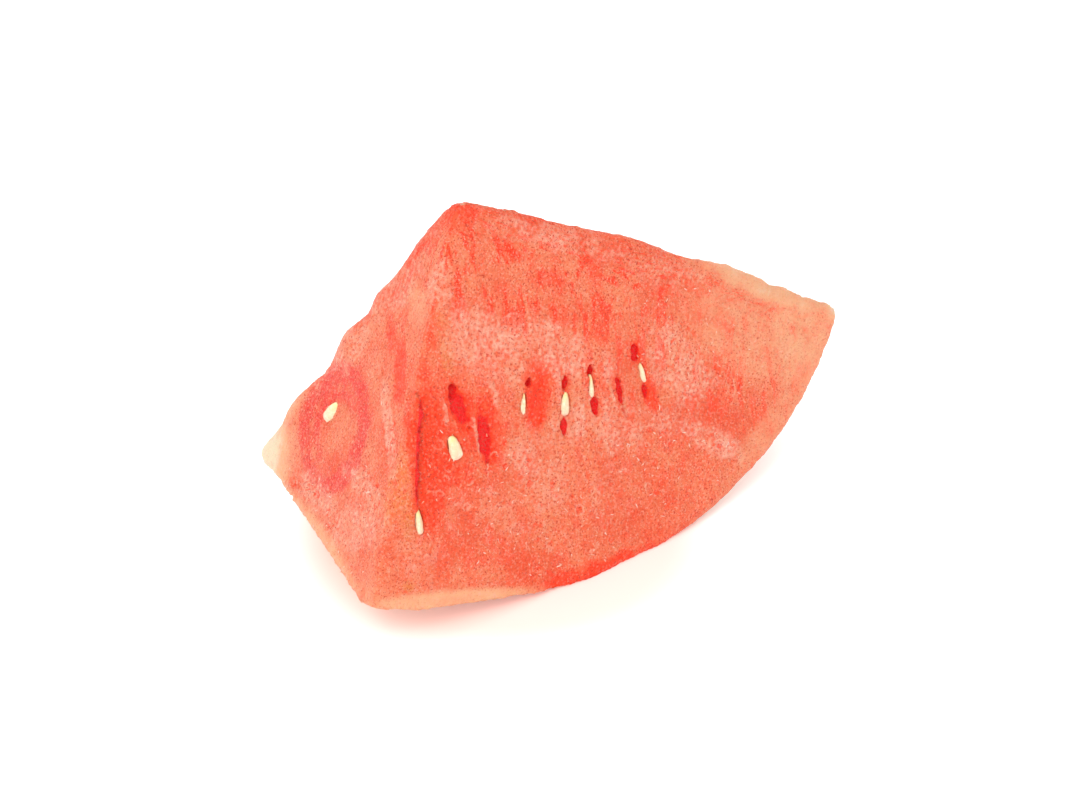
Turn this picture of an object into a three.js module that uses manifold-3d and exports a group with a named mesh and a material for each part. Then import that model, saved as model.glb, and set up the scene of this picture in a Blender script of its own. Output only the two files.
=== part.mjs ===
// Watermelon wedge: an eighth cut lengthwise from half a peeled melon, with pale seeds lying in its cut faces.
// Millimetres, +Z up. It rests on a flat that the knife left on its rind side, heart edge on top and tip
// low at the right. The origin is at the bottom centre of its box.
import * as THREE from "three";
import { mergeVertices } from "three/addons/utils/BufferGeometryUtils.js";
import Module from "manifold-3d";

// The melon, in its own frame: +X runs along the melon's axis from the crosscut to the tip, -Z runs down to
// the rind, and -Y is the front. Depths are measured down from the axis.
const AXIS_LENGTH = 132.4; // crosscut to tip
const FLESH_RADIUS = 105; // axis to rind side at the crosscut
const FULLNESS = 1.9; // power of the melon's outline: 2 is an ellipse, and less is leaner towards the tip
const CUT_ANGLE = 44; // degrees between the two long cuts
const CUT_RISE = 2.5; // the long cuts meet this far above the axis
const CROSSCUT_LEAN = 0.013; // how far the crosscut comes in towards the tip, per depth

// What the knife and handling took off.
const HEEL_DEPTH = 98.8; // heel stroke, at the crosscut
const HEEL_SLOPE = 0.23; // rise of the heel stroke per length
const HEART_CROWN = 2.2; // the heart edge stands this far above the axis at its middle
const APEX_ROUND = 5; // rounded corner where the heart edge meets the crosscut
const TIP_ROUND = 3;

// How the wedge lies.
const HEADING = THREE.MathUtils.degToRad(25.3); // tip turned away from the front
const NOSE_DOWN = THREE.MathUtils.degToRad(27.4); // tip tilted down
const ROLL = THREE.MathUtils.degToRad(-1.2); // top leaning back a little
const AXIS_HEIGHT = 102.3; // height of the axis above the table, at the crosscut

// Seeds are flat teardrops, and each lies in a pocket of its own shape.
const SEED_LENGTH = 7.2;
const SEED_WIDTH = 4.2;
const SEED_THICKNESS = 1.9;
const TIP_DRAW = 0.28; // how much narrower a seed is towards its tip
const POCKET_GAP = 0.35; // all round each seed
const SEED_STEPS = 10; // facets from end to end
const SEED_AROUND = 14;

const OVERSIZE = 20; // how far a cutting shape runs past the melon
const AROUND = 96; // facets round the melon
const ALONG = 32; // facets from crosscut to tip

// Each seed: the face it lies in, its place along the axis and its depth (across is a place from the middle
// of the crosscut, towards the back). lean turns its tip from straight up, roll 0 lies flat on the face and 90
// shows an edge, and sink is the depth of its middle under the face.
const SEEDS = [
  { name: "seed_crosscut", face: "crosscut", across: 15, depth: 70.4, lean: -15, roll: 20, sink: 0.2 },
  { name: "seed_front_1", face: "front", along: 9.5, depth: 75.3, lean: 22, roll: 50, sink: 0.3 },
  { name: "seed_front_2", face: "front", along: 15, depth: 56.5, lean: 37, roll: 12, sink: 0 },
  { name: "seed_front_3", face: "front", along: 32.9, depth: 42.9, lean: 8, roll: 80, sink: 1.2 },
  { name: "seed_front_4", face: "front", along: 46, depth: 40.7, lean: 12, roll: 35, sink: 0.4 },
  { name: "seed_front_5", face: "front", along: 53.1, depth: 35.1, lean: 15, roll: 78, sink: 1.2 },
  { name: "seed_front_6", face: "front", along: 68.3, depth: 28.6, lean: 33, roll: 82, sink: 1.2 },
  { name: "seed_back_1", face: "back", along: 12.2, depth: 66, lean: 24, roll: 30, sink: 0.3 },
  { name: "seed_back_2", face: "back", along: 27.2, depth: 50, lean: 12, roll: 75, sink: 1.2 },
  { name: "seed_back_3", face: "back", along: 44.2, depth: 43, lean: 20, roll: 15, sink: 0.1 },
  { name: "seed_back_4", face: "back", along: 59.2, depth: 33, lean: 30, roll: 70, sink: 1.1 },
  { name: "seed_back_5", face: "back", along: 74.2, depth: 26, lean: 38, roll: 40, sink: 0.5 },
];

// Empty hollows where seeds have fallen out or a seed has slipped down, two torn grooves, and the crack beside
// the ridge: the length, width and cut of each.
const HOLLOWS = [
  { face: "front", along: 64.6, depth: 24.5, lean: 14, length: 5, width: 1.8, cut: 2 },
  { face: "front", along: 62.2, depth: 34.2, lean: 15, length: 7, width: 1.4, cut: 2 },
  { face: "front", along: 55.5, depth: 39.4, lean: 16, length: 4.5, width: 1.4, cut: 1.8 },
  { face: "front", along: 47.1, depth: 46, lean: 10, length: 4.5, width: 1.6, cut: 1.8 },
  { face: "front", along: 70.2, depth: 33, lean: 30, length: 4, width: 1.4, cut: 1.6 },
  { face: "front", along: 13.3, depth: 47, lean: 20, length: 10, width: 5, cut: 2.2 },
  { face: "front", along: 23.3, depth: 52.6, lean: 14, length: 14, width: 3.4, cut: 1.8 },
  { face: "front", along: 5.8, depth: 65.2, lean: 14, length: 20, width: 2.6, cut: 3 },
  { face: "front", along: 33.1, depth: 37.9, lean: 0, length: 2.6, width: 1.8, cut: 1.6 },
  { face: "front", along: 44.9, depth: 35.6, lean: 6, length: 3.4, width: 1.8, cut: 1.6 },
  { face: "front", along: 52.2, depth: 30.9, lean: 10, length: 3, width: 1.6, cut: 1.6 },
  { face: "back", along: 66.2, depth: 29, lean: 24, length: 6, width: 1.6, cut: 2 },
  { face: "back", along: 35.2, depth: 47, lean: 14, length: 6, width: 1.8, cut: 2 },
];

const wasm = await Module();
wasm.setup();

// A closed three.js geometry as a solid that can be cut and joined.
function solid(geometry) {
  const bare = geometry.clone();
  bare.deleteAttribute("normal");
  bare.deleteAttribute("uv");
  const merged = mergeVertices(bare, 1e-4);
  return new wasm.Manifold(
    new wasm.Mesh({
      numProp: 3,
      vertProperties: merged.attributes.position.array,
      triVerts: new Uint32Array(merged.index.array),
    }),
  );
}

// A solid back as a geometry with flat facets.
function geometryOf(body) {
  const mesh = body.getMesh();
  const geometry = new THREE.BufferGeometry();
  geometry.setAttribute("position", new THREE.BufferAttribute(mesh.vertProperties, 3));
  geometry.setIndex(new THREE.BufferAttribute(mesh.triVerts, 1));
  const faceted = geometry.toNonIndexed();
  faceted.computeVertexNormals();
  return faceted;
}

const HALF_CUT = THREE.MathUtils.degToRad(CUT_ANGLE / 2);

// The two long cuts and the crosscut: a triangular section run along the axis.
function cutPrism() {
  const depth = FLESH_RADIUS + OVERSIZE;
  const halfWidth = (depth + CUT_RISE) * Math.tan(HALF_CUT);
  const section = new THREE.Shape();
  section.moveTo(0, CUT_RISE);
  section.lineTo(-halfWidth, -depth);
  section.lineTo(halfWidth, -depth);
  section.closePath();
  const prism = new THREE.ExtrudeGeometry(section, { depth: AXIS_LENGTH + OVERSIZE, bevelEnabled: false });
  // The section's x becomes the melon's y, its y the melon's z, and the run follows the melon's x.
  prism.applyMatrix4(
    new THREE.Matrix4().makeBasis(
      new THREE.Vector3(0, 1, 0),
      new THREE.Vector3(0, 0, 1),
      new THREE.Vector3(1, 0, 0),
    ),
  );
  return solid(prism);
}

// The peeled melon: its outline turned about the axis, run straight back past the crosscut.
function peeledMelon() {
  const outline = [new THREE.Vector2(0, -OVERSIZE), new THREE.Vector2(FLESH_RADIUS, -OVERSIZE)];
  for (let i = 0; i <= ALONG; i++) {
    const turn = ((Math.PI / 2) * i) / ALONG;
    const radius = i === ALONG ? 0 : FLESH_RADIUS * Math.cos(turn) ** (2 / FULLNESS);
    outline.push(new THREE.Vector2(radius, AXIS_LENGTH * Math.sin(turn) ** (2 / FULLNESS)));
  }
  // A lathe turns about y, so y is laid along the melon's x.
  return solid(new THREE.LatheGeometry(outline, AROUND).rotateZ(-Math.PI / 2));
}

// The side outline: heel stroke and resting flat below, and the crowned heart edge on top.
function sideTrim() {
  const restDepth = (x) => (AXIS_HEIGHT - x * Math.sin(NOSE_DOWN)) / Math.cos(NOSE_DOWN);
  const heelEnd = (restDepth(0) - HEEL_DEPTH) / (Math.tan(NOSE_DOWN) - HEEL_SLOPE);
  const pastTip = AXIS_LENGTH + OVERSIZE;
  const outline = new THREE.Shape();
  outline.moveTo(0, -APEX_ROUND);
  outline.lineTo(CROSSCUT_LEAN * HEEL_DEPTH, -HEEL_DEPTH);
  outline.lineTo(heelEnd, -restDepth(heelEnd));
  outline.lineTo(pastTip, -restDepth(pastTip));
  outline.lineTo(pastTip, -TIP_ROUND);
  outline.lineTo(AXIS_LENGTH, -TIP_ROUND);
  outline.quadraticCurveTo(AXIS_LENGTH, 0, AXIS_LENGTH - TIP_ROUND, 0);
  outline.quadraticCurveTo(AXIS_LENGTH / 2, 2 * HEART_CROWN, APEX_ROUND, 0);
  outline.absarc(APEX_ROUND, -APEX_ROUND, APEX_ROUND, Math.PI / 2, Math.PI, false);
  const width = 2 * (FLESH_RADIUS + OVERSIZE);
  const slab = new THREE.ExtrudeGeometry(outline, { depth: width, bevelEnabled: false, curveSegments: 12 });
  // The outline's y becomes the melon's z, and the run follows -y from the back to the front. The strokes are
  // level across the table, so they are turned back by the roll.
  return solid(slab.rotateX(Math.PI / 2).translate(0, width / 2, 0).rotateX(-ROLL));
}

// A teardrop about y, tip up: round below, drawn in above.
function teardrop(length, width, thickness) {
  const outline = [];
  for (let i = 0; i <= SEED_STEPS; i++) {
    const turn = (Math.PI * i) / SEED_STEPS;
    const drawnIn = 1 - TIP_DRAW * Math.sin(turn / 2) ** 2;
    const radius = i === 0 || i === SEED_STEPS ? 0 : (Math.sin(turn) * drawnIn * width) / 2;
    outline.push(new THREE.Vector2(radius, (-Math.cos(turn) * length) / 2));
  }
  return new THREE.LatheGeometry(outline, SEED_AROUND).scale(1, 1, thickness / width);
}

// Where a thing lies in its cut face, in the melon's frame: x across the face, y up it and z out of it.
function placeInFace({ face, along = 0, across = 0, depth, lean, roll = 0, sink = 0 }) {
  const side = face === "back" ? 1 : -1;
  const halfWidth = (depth + CUT_RISE) * Math.tan(HALF_CUT);
  let right = new THREE.Vector3(0, -1, 0);
  let up = new THREE.Vector3(0, 0, 1);
  let middle = new THREE.Vector3(CROSSCUT_LEAN * depth, across, -depth);
  if (face !== "crosscut") {
    right = new THREE.Vector3(-side, 0, 0);
    up = new THREE.Vector3(0, -side * Math.sin(HALF_CUT), Math.cos(HALF_CUT));
    middle = new THREE.Vector3(along, side * halfWidth, -depth);
  }
  const out = new THREE.Vector3().crossVectors(right, up);
  middle.addScaledVector(out, -sink);
  // A lean is positive where the top tilts towards the crosscut.
  const leanTurn = THREE.MathUtils.degToRad(face === "back" ? -lean : lean);
  return new THREE.Matrix4()
    .makeBasis(right, up, out)
    .multiply(new THREE.Matrix4().makeRotationZ(leanTurn))
    .multiply(new THREE.Matrix4().makeRotationY(THREE.MathUtils.degToRad(roll)))
    .setPosition(middle);
}

// The pocket of a seed is the seed's own teardrop, larger by the gap.
function seedPocket(seed) {
  const room = 2 * POCKET_GAP;
  const shape = teardrop(SEED_LENGTH + room, SEED_WIDTH + room, SEED_THICKNESS + room);
  return solid(shape.applyMatrix4(placeInFace(seed)));
}

function hollow(place) {
  const lens = teardrop(place.length, place.width, 2 * place.cut);
  return solid(lens.applyMatrix4(placeInFace(place)));
}

function fleshGeometry() {
  let flesh = cutPrism().intersect(peeledMelon()).intersect(sideTrim());
  for (const seed of SEEDS) flesh = flesh.subtract(seedPocket(seed));
  for (const place of HOLLOWS) flesh = flesh.subtract(hollow(place));
  return geometryOf(flesh);
}

const fleshMaterial = new THREE.MeshStandardMaterial({ color: 0xf47a62, roughness: 0.45, metalness: 0 });
const seedMaterial = new THREE.MeshStandardMaterial({ color: 0xf3d9a4, roughness: 0.4, metalness: 0 });

// The melon group holds everything in the melon's frame, and lays it down as the wedge rests.
const melon = new THREE.Group();
melon.rotation.set(ROLL, NOSE_DOWN, HEADING, "ZYX");
melon.position.z = AXIS_HEIGHT;

const flesh = new THREE.Mesh(fleshGeometry(), fleshMaterial);
flesh.name = "flesh";
melon.add(flesh);

for (const seed of SEEDS) {
  const mesh = new THREE.Mesh(teardrop(SEED_LENGTH, SEED_WIDTH, SEED_THICKNESS), seedMaterial);
  mesh.name = seed.name;
  mesh.applyMatrix4(placeInFace(seed));
  melon.add(mesh);
}

// The wedge stands with the middle of its box over the origin.
const wedge = new THREE.Group();
wedge.add(melon);
wedge.updateMatrixWorld(true);
const middle = new THREE.Box3().setFromObject(flesh, true).getCenter(new THREE.Vector3());
melon.position.x -= middle.x;
melon.position.y -= middle.y;

export default wedge;
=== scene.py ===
import math

import bmesh
import bpy
import numpy as np
from mathutils import Matrix, Vector


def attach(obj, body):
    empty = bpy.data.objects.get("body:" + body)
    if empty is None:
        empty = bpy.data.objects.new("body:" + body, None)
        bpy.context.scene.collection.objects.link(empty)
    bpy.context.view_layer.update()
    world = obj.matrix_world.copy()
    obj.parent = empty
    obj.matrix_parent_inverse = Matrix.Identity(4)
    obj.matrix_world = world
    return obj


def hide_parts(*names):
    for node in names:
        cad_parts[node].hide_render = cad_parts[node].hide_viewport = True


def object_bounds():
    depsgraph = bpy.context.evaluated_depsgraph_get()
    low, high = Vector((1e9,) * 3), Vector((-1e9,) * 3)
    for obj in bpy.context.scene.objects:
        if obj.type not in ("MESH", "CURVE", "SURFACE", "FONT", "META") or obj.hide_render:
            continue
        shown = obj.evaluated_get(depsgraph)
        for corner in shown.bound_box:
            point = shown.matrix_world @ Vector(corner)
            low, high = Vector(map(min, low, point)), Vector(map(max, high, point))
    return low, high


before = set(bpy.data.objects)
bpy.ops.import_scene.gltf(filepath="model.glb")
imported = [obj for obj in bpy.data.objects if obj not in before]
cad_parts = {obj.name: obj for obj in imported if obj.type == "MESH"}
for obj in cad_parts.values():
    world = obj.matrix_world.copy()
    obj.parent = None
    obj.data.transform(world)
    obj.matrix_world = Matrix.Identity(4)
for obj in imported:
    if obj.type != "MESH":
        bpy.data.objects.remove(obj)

cad_low, cad_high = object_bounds()
MM = 0.001

# ======================================================================================================
# Flesh: an eighth of half a peeled watermelon, one crisp and juicy solid. It was cut lengthwise twice and
# across once, the rind was cut away underneath, and handling has softened and torn its corners.
# ======================================================================================================
cad_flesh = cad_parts["flesh"].data


# The outward normal of a flat cut, read from its largest triangle, and the plane's distance from the origin.
def flat_cut(towards):
    def facing(polygon):
        return polygon.area * max(0.0, polygon.normal.dot(towards)) ** 4

    largest = max(cad_flesh.polygons, key=facing)
    return largest.normal.copy(), largest.normal.dot(largest.center)


cuts = {
    "front": flat_cut(Vector((0, -1, 0))),
    "back": flat_cut(Vector((0, 1, 0))),
    "crosscut": flat_cut(Vector((-1, 0, 0))),
}

# The melon's own frame: x along its axis from the crosscut to the tip, z up to the heart edge, y to the back.
CUT_RISE = 2.5  # millimetres from the axis up to where the long cuts meet
front_normal, back_normal, crosscut_normal = (cuts[name][0] for name in ("front", "back", "crosscut"))
melon_x = back_normal.cross(front_normal).normalized()
melon_z = (front_normal + back_normal).normalized()
melon_y = melon_z.cross(melon_x)
meeting = Matrix((front_normal, back_normal, crosscut_normal)).inverted()
apex = meeting @ Vector([cuts[name][1] for name in ("front", "back", "crosscut")])
melon = Matrix((melon_x, melon_y, melon_z)).transposed().to_4x4()
melon.translation = apex - melon_z * CUT_RISE * MM
half_cut = math.asin(front_normal.dot(melon_z))
CROSSCUT_SLOPE = 0.013  # how far the crosscut moves along the axis for each millimetre down


# A frame lying in a cut, all in millimetres: x across the cut, y up it and z out of it. depth is measured
# down from the melon's axis, place is along the axis on a long cut and towards the back on the crosscut,
# and lean turns the frame's y towards the crosscut, or towards the back.
def in_cut(face, place, depth, lean=0.0):
    side = {"front": -1, "back": 1, "crosscut": 0}[face]
    if face == "crosscut":
        right, up = Vector((0, -1, 0)), Vector((0, 0, 1))
        middle = Vector((CROSSCUT_SLOPE * depth, place, -depth))
    else:
        right = Vector((-side, 0, 0))
        up = Vector((0, -side * math.sin(half_cut), math.cos(half_cut)))
        middle = Vector((place, side * (depth + CUT_RISE) * math.tan(half_cut), -depth))
    lying = Matrix((right, up, right.cross(up))).transposed().to_4x4()
    lying.translation = middle
    return lying @ Matrix.Rotation(math.radians(-lean if face == "back" else lean), 4, "Z")


# Puts an object into the scene, showing a mesh or holding a lamp or a camera.
def put(name, data):
    thing = bpy.data.objects.new(name, data)
    bpy.context.scene.collection.objects.link(thing)
    return thing


def put_smooth(name, mesh):
    for polygon in mesh.polygons:
        polygon.use_smooth = True
    return put(name, mesh)


FACET = 0.8 * MM


# The solid wedge without its hollows, as fine even facets lined up with the front cut.
def solid_wedge():
    hull = bmesh.new()
    for vertex in cad_flesh.vertices:
        hull.verts.new(vertex.co)
    bmesh.ops.convex_hull(hull, input=hull.verts)
    bmesh.ops.delete(hull, geom=[v for v in hull.verts if not v.link_faces], context="VERTS")
    lined_up = (melon @ in_cut("front", 0, 0)).to_3x3().to_4x4()
    hull.transform(lined_up.inverted())
    mesh = bpy.data.meshes.new("wedge")
    hull.to_mesh(mesh)
    hull.free()
    wedge = put("wedge", mesh)
    remesh = wedge.modifiers.new("even facets", "REMESH")
    remesh.mode = "VOXEL"
    remesh.voxel_size = FACET
    graph = bpy.context.evaluated_depsgraph_get()
    even = bpy.data.meshes.new_from_object(wedge.evaluated_get(graph))
    bpy.data.objects.remove(wedge)
    even.transform(lined_up)
    return even


# A node in a tree, with its inputs given as numbers or as the sockets that feed them.
def add_node(tree, kind, inputs=None, **settings):
    node = tree.nodes.new(kind)
    for name, value in settings.items():
        setattr(node, name, value)
    for key, value in (inputs or {}).items():
        if isinstance(value, bpy.types.NodeSocket):
            tree.links.new(value, node.inputs[key])
        else:
            node.inputs[key].default_value = value
    return node


# One sum of numbers or sockets.
def sums(tree, operation, first, second, third=None, clamp=False):
    inputs = {0: first, 1: second} if third is None else {0: first, 1: second, 2: third}
    return add_node(tree, "ShaderNodeMath", inputs, operation=operation, use_clamp=clamp).outputs[0]


# A soft step from 0 to 1, or between other limits, as the value goes from low to high.
def ramp(tree, value, low, high, to_low=0.0, to_high=1.0):
    limits = {"Value": value, "From Min": low, "From Max": high, "To Min": to_low, "To Max": to_high}
    return add_node(tree, "ShaderNodeMapRange", limits, interpolation_type="SMOOTHSTEP").outputs[0]


def noise_of(tree, vector, scale, detail=2.0, roughness=0.5):
    inputs = {"Vector": vector, "Scale": scale, "Detail": detail, "Roughness": roughness}
    return add_node(tree, "ShaderNodeTexNoise", inputs).outputs[0]


def stored(tree, name, kind="FLOAT"):
    return add_node(tree, "GeometryNodeInputNamedAttribute", {"Name": name}, data_type=kind).outputs[0]


# How high each point lies above the table, in metres.
def height_above_table(tree):
    place = add_node(tree, "GeometryNodeInputPosition").outputs[0]
    return add_node(tree, "ShaderNodeSeparateXYZ", {0: place}).outputs[2]


# A geometry tree with named inputs, its Group Input node and its output socket.
def new_tree(name, sockets):
    tree = bpy.data.node_groups.new(name, "GeometryNodeTree")
    tree.interface.new_socket("Geometry", in_out="INPUT", socket_type="NodeSocketGeometry")
    for label, kind in sockets:
        tree.interface.new_socket(label, in_out="INPUT", socket_type="NodeSocket" + kind)
    tree.interface.new_socket("Geometry", in_out="OUTPUT", socket_type="NodeSocketGeometry")
    return tree, tree.nodes.new("NodeGroupInput"), tree.nodes.new("NodeGroupOutput")


# Ends a geometry tree: instances made real, and the material set.
def end_tree(tree, given, result, geometry):
    real = add_node(tree, "GeometryNodeRealizeInstances", {"Geometry": geometry})
    ended = add_node(
        tree,
        "GeometryNodeSetMaterial",
        {"Geometry": real.outputs[0], "Material": given.outputs["Material"]},
    )
    tree.links.new(ended.outputs[0], result.inputs["Geometry"])


# The plain mesh that a tree makes of a mesh.
def grown(mesh, tree, values):
    thing = put(tree.name, mesh)
    modifier = thing.modifiers.new(tree.name, "NODES")
    modifier.node_group = tree
    for item in tree.interface.items_tree:
        if item.in_out == "INPUT" and item.name in values:
            modifier[item.identifier] = values[item.name]
    graph = bpy.context.evaluated_depsgraph_get()
    made = bpy.data.meshes.new_from_object(
        thing.evaluated_get(graph), preserve_all_data_layers=True, depsgraph=graph
    )
    bpy.data.objects.remove(thing)
    return made


# Softened corners, and cuts that wander as a knife does: deeper and tighter waves near the edges.
def softened_tree():
    tree, given, result = new_tree(
        "softened cuts",
        [("Rounding", "Int"), ("Wander", "Float"), ("Crumble", "Float"), ("Material", "Material")],
    )
    place = add_node(tree, "GeometryNodeInputPosition").outputs[0]
    rounded = add_node(
        tree,
        "GeometryNodeBlurAttribute",
        {"Value": place, "Iterations": given.outputs["Rounding"]},
        data_type="FLOAT_VECTOR",
    ).outputs[0]
    apart = {0: rounded, 1: place}
    gap = add_node(tree, "ShaderNodeVectorMath", apart, operation="DISTANCE").outputs["Value"]
    edge = ramp(tree, gap, 0.0, 0.6 * MM)
    edge_wide = add_node(tree, "GeometryNodeBlurAttribute", {"Value": edge, "Iterations": 6}).outputs[0]
    set_round = add_node(
        tree, "GeometryNodeSetPosition", {"Geometry": given.outputs["Geometry"], "Position": rounded}
    ).outputs[0]
    wander = sums(tree, "SUBTRACT", noise_of(tree, place, 38.0), 0.3)
    wander = sums(tree, "MULTIPLY", wander, given.outputs["Wander"])
    crumble = sums(tree, "SUBTRACT", noise_of(tree, place, 150.0, 3.0), 0.5)
    crumble = sums(tree, "MULTIPLY", crumble, given.outputs["Crumble"])
    push = sums(tree, "MULTIPLY_ADD", crumble, edge_wide, wander)
    normal = add_node(tree, "GeometryNodeInputNormal").outputs[0]
    offset = add_node(tree, "ShaderNodeVectorMath", {0: normal, "Scale": push}, operation="SCALE").outputs[0]
    moved = add_node(tree, "GeometryNodeSetPosition", {"Geometry": set_round, "Offset": offset}).outputs[0]
    end_tree(tree, given, result, moved)
    return tree


# A soft step from 0 to 1 as the value goes from low to high.
def smooth(low, high, value):
    step = np.clip((value - low) / (high - low), 0, 1)
    return step * step * (3 - 2 * step)


# A mesh's points as rows of an array, in metres.
def points_of(mesh):
    points = np.empty(len(mesh.vertices) * 3)
    mesh.vertices.foreach_get("co", points)
    return points.reshape(-1, 3)


def normals_of(mesh):
    return np.array([vertex.normal[:] for vertex in mesh.vertices])


# Stores one number, or three, at each point of a mesh.
def store(mesh, name, values):
    kind, field = ("FLOAT_VECTOR", "vector") if values.ndim == 2 else ("FLOAT", "value")
    layer = mesh.attributes.new(name, kind, "POINT")
    layer.data.foreach_set(field, values.astype(np.float32).ravel())


# Points as seen in a frame.
def seen_in(lying, points):
    inward = np.array(lying.inverted())
    return points @ inward[:3, :3].T + inward[:3, 3]


# Points in the melon's frame, in millimetres, from points in metres.
def places(points):
    return seen_in(melon, points) / MM


# How much each point lies in a soft-edged oval in a cut: 1 inside it, 0 outside. taper narrows its upper end,
# and ragged makes its outline uneven.
def oval(points, face, place, depth, lean, length, width, soft=0.4, through=5.0, taper=0.0, ragged=0.0):
    x, y, z = seen_in(in_cut(face, place, depth, lean), points).T
    narrowed = 1 - taper * np.clip(2 * y / length, -1, 1)
    reach = np.sqrt((2 * x / (width * narrowed)) ** 2 + (2 * y / length) ** 2 + (z / through) ** 2)
    reach = reach * (1 + ragged * np.sin(points @ (0.9, 0.5, 1.3)) * np.sin(points @ (-1.4, 0.9, 0.5) + 1))
    return smooth(1 + soft, 1 - soft, reach)


# Hollows left by fallen or slipped seeds, and torn grooves: cut, place, depth, lean, length, width, cut in.
HOLLOWS = [
    ("front", 64.6, 24.3, 20, 5.4, 2.3, 1.0),
    ("front", 62.2, 34.2, 28, 8, 2.0, 0.9),
    ("front", 65.5, 39.3, 38, 4, 1.1, 0.5),
    ("front", 55.5, 39.4, 24, 5.4, 2.5, 0.95),
    ("front", 47.1, 46, 24, 4.8, 2.4, 0.9),
    ("front", 70.8, 33, 38, 4.5, 2.0, 0.8),
    ("front", 13.6, 46.8, 40, 12, 4.6, 0.75),
    ("front", 11.2, 43.6, 30, 3.4, 2.4, 1.05),
    ("front", 23.3, 52.6, 24, 14, 4.2, 0.75),
    ("front", 36.2, 41.5, 18, 13, 6.4, 0.45),
    ("front", 33.1, 37.6, 0, 2.7, 2.0, 1.15),
    ("front", 44.4, 35.6, 6, 3.8, 2.2, 1.15),
    ("front", 51.6, 31.4, 10, 3.2, 2.0, 1.15),
    ("back", 66.2, 29, 24, 6, 1.9, 1.3),
    ("back", 35.2, 47, 14, 6, 2.1, 1.3),
    ("back", 20.5, 57, 18, 12, 4.4, 0.9),
]


# A seed's place as it lies: its middle, its width, length and thickness directions, and its half sizes.
def seed_lie(name):
    points = np.array([vertex.co[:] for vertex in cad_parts[name].data.vertices])
    middle = points.mean(0)
    _, _, across = np.linalg.svd(points - middle, full_matrices=False)
    length, width, _ = across
    along = (points - middle) @ length
    middle = middle + length * (along.max() + along.min()) / 2
    along = (points - middle) @ length
    girth = np.linalg.norm((points - middle) - np.outer(along, length), axis=1)
    tip, foot = (girth[along > 0.3 * along.max()].mean(), girth[along < -0.3 * along.max()].mean())
    if tip > foot:
        length = -length
    axes = np.array([width, length, np.cross(width, length)])
    reach = np.abs((points - middle) @ axes.T).max(0)
    return middle, axes, reach


seed_names = [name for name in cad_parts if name.startswith("seed_")]
seed_lies = {name: seed_lie(name) for name in seed_names}
SEED_SQUEEZE = 0.02 * MM  # how much smaller a pocket is than its seed, all round
SOFT_SIZE = np.array((1.15, 0.92, 1.35))  # a soft seed's width, length and thickness against its plain one


# Splits the facets in two each way where the given test says so.
def finer(mesh, wanted):
    detail = bmesh.new()
    detail.from_mesh(mesh)
    middles = np.array([face.calc_center_median()[:] for face in detail.faces])
    chosen = wanted(middles)
    edges = {edge for face, wants in zip(detail.faces, chosen) if wants for edge in face.edges}
    edges = sorted(edges, key=lambda edge: edge.index)
    bmesh.ops.subdivide_edges(detail, edges=edges, cuts=1, use_grid_fill=True)
    detail.normal_update()
    detail.to_mesh(mesh)
    detail.free()


# The crack beside the front ridge: points down its length, as distance along the axis and depth.
CRACK = [(1.2, 46.0), (2.2, 50.5), (3.3, 57.5), (4.6, 63.5), (6.0, 69.0), (7.9, 74.0)]
# The flap beside it rises and is pushed towards the tip, and the crack's floor drops, all in millimetres.
FLAP_RISE, FLAP_PUSH, FLOOR_DROP = 0.7, 0.9, 1.1


# How far each point of the front cut lies to the tip's side of the crack, and how much it lies by the crack.
def by_crack(points):
    along, up, out = seen_in(in_cut("front", 0, 0), points).T
    down = -up * math.cos(half_cut)
    lengths, depths = zip(*CRACK)
    past = along - np.interp(down, depths, lengths)
    reach = smooth(depths[0] - 3, depths[0] + 5, down) * smooth(depths[-1] + 1.5, depths[-1] - 6, down)
    return past, reach * (np.abs(out) < 4)


# Says which facets lie by a hollow, a seed or the crack, each made larger and given a margin in millimetres.
def near_features(margin, grow):
    def wanted(middles):
        points = places(middles)
        near = np.zeros(len(points), bool)
        for *lie, length, width, _ in HOLLOWS:
            near |= oval(points, *lie, length * grow + margin, width * grow + margin, soft=0.01) > 0.5
        for name in seed_names:
            middle, axes, reach = seed_lies[name]
            around = np.abs((middles - middle) @ axes.T) / (reach * grow + margin * 0.5 * MM)
            near |= np.linalg.norm(around, axis=1) < 1.0
        past, reach = by_crack(points)
        near |= (reach > 0.02) & (past > -margin * 0.5 - 0.4) & (past < margin * 1.2 + 0.4)
        return near

    return wanted


# Swellings and dents of the edges, in the melon's frame: middle, how far round it they reach, and height.
SWELLS = [
    ((0, 8, -18), 9, 1.0),
    ((0, 15.5, -35), 6, 1.4),
    ((0, 21.5, -51), 7, 1.9),
    ((0, 32, -77), 10, 2.1),
    ((0, 18, -41.5), 3, -0.5),
    ((0, 26, -64), 3.5, -0.7),
    ((58, 0, 2), 12, 1.0),
    ((86, 0, 2), 8, 1.3),
    ((99, 0, 2), 7, 1.0),
    ((90, 0, 2), 2.2, 0.4),
    ((95.5, 0, 2), 1.6, -0.5),
    ((98.5, 0, 2), 1.4, 0.35),
    ((106.5, 0, 1), 2, -0.4),
    ((112, 0, 1), 2.6, 0.3),
    ((119, 0, 0), 1.5, -0.4),
    ((0, 38, -98), 9, 1.4),
    ((129, 0, -4), 3.5, 0.6),
    ((57, -37, -85), 5, -1.3),
    ((68, -34, -82), 6, 0.5),
]

# Thin torn strips standing up beside the seeds: cut, place, depth, lean, length and width.
STRIPS = [
    ("front", 46.2, 43.7, 33, 16, 1.7),
    ("front", 20.8, 53, 26, 11, 1.4),
    ("front", 10.3, 49.5, 26, 7.5, 1.4),
    ("front", 23.5, 42.6, 34, 7.5, 1.7),
    ("front", 57.9, 38.2, 35, 7.5, 1.6),
    ("front", 60.4, 36.6, 38, 8, 1.3),
    ("front", 41.7, 35.5, 30, 6.5, 1.7),
]
STRIP_HEIGHT = 0.45  # millimetres

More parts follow.
